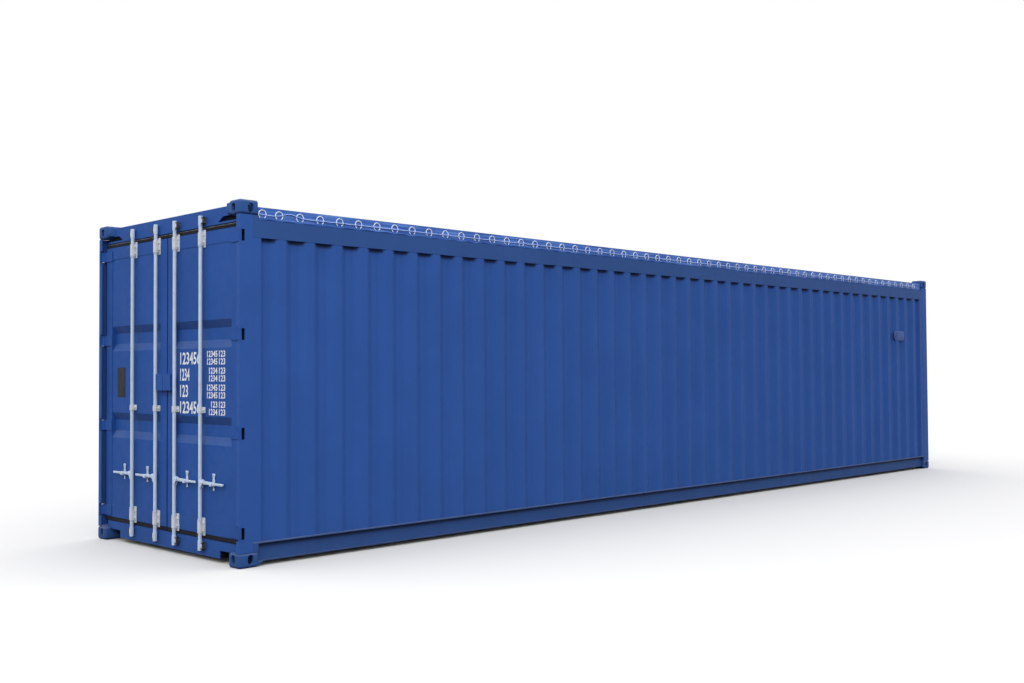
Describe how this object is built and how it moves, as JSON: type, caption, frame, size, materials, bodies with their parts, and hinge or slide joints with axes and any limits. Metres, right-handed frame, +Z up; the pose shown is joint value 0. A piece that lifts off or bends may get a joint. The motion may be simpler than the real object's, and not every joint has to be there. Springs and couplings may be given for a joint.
{
  "type": "open-top shipping container",
  "caption": "Long steel box with corrugated walls, corner castings, tarpaulin roof and a pair of end doors held shut by lock rods, for carrying cargo by ship, rail and road.",
  "frame": {"origin": "on the ground, in the middle of the four bottom castings", "axes": "+X along the length from the doors to the front end, +Y across to the left side as seen facing the doors, +Z up"},
  "size_m": [12.192, 2.438, 2.896],
  "materials": {
    "blue_paint": "satin",
    "galvanised_steel": "galvanised",
    "tarpaulin": "coated cloth",
    "cable": "coated rope",
    "gasket_rubber": "matt",
    "floor_board": "sealed plywood"
  },
  "bodies": {
    "container": {"corner_castings_bottom": "blue_paint", "corner_castings_top": "blue_paint", "rear_posts": "blue_paint", "front_posts": "blue_paint", "bottom_side_rails": "blue_paint", "top_side_rails": "blue_paint", "right_side_wall": "blue_paint", "left_side_wall": "blue_paint", "front_wall": "blue_paint", "front_sill": "blue_paint", "front_top_rail": "blue_paint", "door_sill": "blue_paint", "door_header": "blue_paint", "floor": "floor_board", "cross_members": "blue_paint", "roof_bows": "galvanised_steel", "tarpaulin": "tarpaulin", "tarpaulin_rings": "galvanised_steel", "tarpaulin_cables": "cable", "hinge_lugs": "blue_paint", "lock_keepers": "galvanised_steel"},
    "right_door": {"right_door_frame": "blue_paint", "right_door_panel": "blue_paint", "right_door_gasket": "gasket_rubber", "right_door_hinges": "blue_paint", "right_lock_box": "blue_paint", "right_rod_brackets": "galvanised_steel", "right_handle_hooks": "galvanised_steel"},
    "right_inner_lock_rod": {"right_inner_lock_rod": "galvanised_steel"},
    "right_inner_handle": {"right_inner_handle": "galvanised_steel"},
    "right_outer_lock_rod": {"right_outer_lock_rod": "galvanised_steel"},
    "right_outer_handle": {"right_outer_handle": "galvanised_steel"},
    "left_door": {"left_door_frame": "blue_paint", "left_door_panel": "blue_paint", "left_door_gasket": "gasket_rubber", "left_door_hinges": "blue_paint", "left_lock_box": "blue_paint", "left_rod_brackets": "galvanised_steel", "left_handle_hooks": "galvanised_steel"},
    "left_inner_lock_rod": {"left_inner_lock_rod": "galvanised_steel"},
    "left_inner_handle": {"left_inner_handle": "galvanised_steel"},
    "left_outer_lock_rod": {"left_outer_lock_rod": "galvanised_steel"},
    "left_outer_handle": {"left_outer_handle": "galvanised_steel"}
  },
  "joints": [
    {"name": "right_door_hinge", "type": "hinge", "parent": "container", "child": "right_door", "pos_m": [-6.081, -1.204, 0.272], "axis": [0, 0, 1], "range_deg": [0, 266]},
    {"name": "right_inner_rod_turn", "type": "hinge", "parent": "right_door", "child": "right_inner_lock_rod", "pos_m": [-6.0737, -0.165, 1.225], "axis": [0, 0, 1], "range_deg": [-110, 0]},
    {"name": "right_inner_handle_lift", "type": "hinge", "parent": "right_inner_lock_rod", "child": "right_inner_handle", "pos_m": [-6.0737, -0.201, 0.636], "axis": [-1, 0, 0], "range_deg": [0, 40]},
    {"name": "right_outer_rod_turn", "type": "hinge", "parent": "right_door", "child": "right_outer_lock_rod", "pos_m": [-6.0737, -0.59, 1.225], "axis": [0, 0, 1], "range_deg": [-110, 0]},
    {"name": "right_outer_handle_lift", "type": "hinge", "parent": "right_outer_lock_rod", "child": "right_outer_handle", "pos_m": [-6.0737, -0.626, 0.636], "axis": [-1, 0, 0], "range_deg": [0, 40]},
    {"name": "left_door_hinge", "type": "hinge", "parent": "container", "child": "left_door", "pos_m": [-6.081, 1.204, 0.272], "axis": [0, 0, -1], "range_deg": [0, 266]},
    {"name": "left_inner_rod_turn", "type": "hinge", "parent": "left_door", "child": "left_inner_lock_rod", "pos_m": [-6.0737, 0.165, 1.225], "axis": [0, 0, -1], "range_deg": [-110, 0]},
    {"name": "left_inner_handle_lift", "type": "hinge", "parent": "left_inner_lock_rod", "child": "left_inner_handle", "pos_m": [-6.0737, 0.201, 0.636], "axis": [1, 0, 0], "range_deg": [0, 40]},
    {"name": "left_outer_rod_turn", "type": "hinge", "parent": "left_door", "child": "left_outer_lock_rod", "pos_m": [-6.0737, 0.59, 1.225], "axis": [0, 0, -1], "range_deg": [-110, 0]},
    {"name": "left_outer_handle_lift", "type": "hinge", "parent": "left_outer_lock_rod", "child": "left_outer_handle", "pos_m": [-6.0737, 0.626, 0.636], "axis": [1, 0, 0], "range_deg": [0, 40]}
  ]
}
